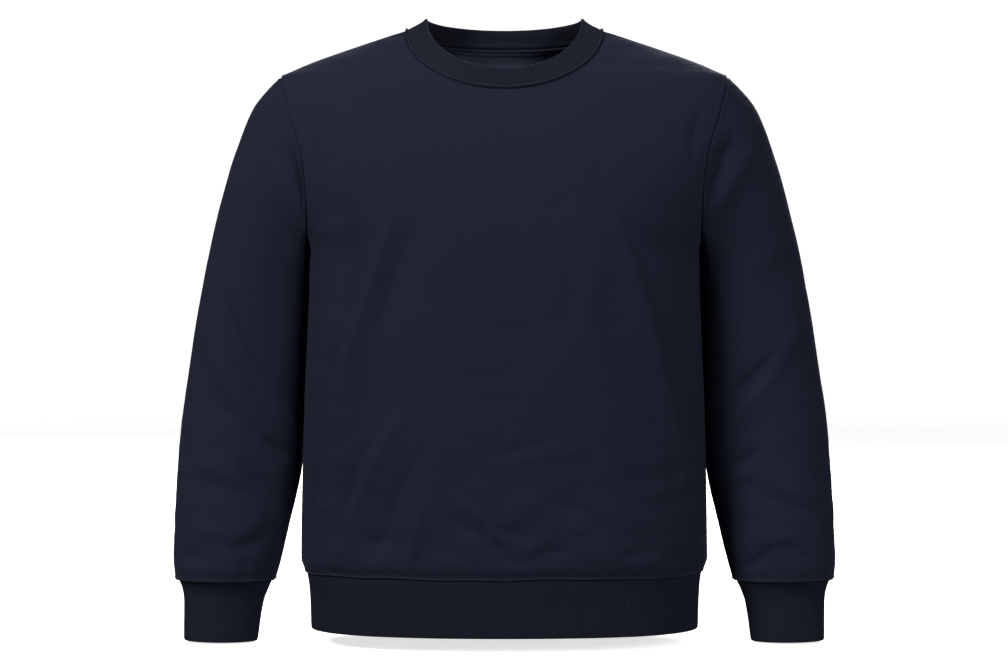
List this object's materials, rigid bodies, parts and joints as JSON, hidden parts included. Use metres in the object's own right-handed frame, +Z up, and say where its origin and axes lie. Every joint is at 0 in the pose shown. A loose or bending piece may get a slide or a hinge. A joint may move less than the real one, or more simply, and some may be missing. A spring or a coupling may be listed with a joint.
{
  "type": "crewneck sweatshirt",
  "caption": "Plain navy crewneck sweatshirt in its worn hollow form, with set-in sleeves hanging down and ribbed collar, cuffs and hem band",
  "frame": {"origin": "midway between the two shoulder neck points, where the garment hangs on its wearer", "axes": "+Z up, front faces -Y, wearer's left arm at +X"},
  "size_m": [0.7662, 0.2589, 0.7212],
  "materials": {
    "fleece": "matte",
    "rib": "matte",
    "tape": "matte"
  },
  "bodies": {
    "root": {"front": "fleece", "back": "fleece", "sleeve_left": "fleece", "sleeve_right": "fleece", "cuff_left": "rib", "cuff_right": "rib", "hem_band": "rib", "collar": "rib", "neck_tape": "tape"}
  },
  "joints": []
}
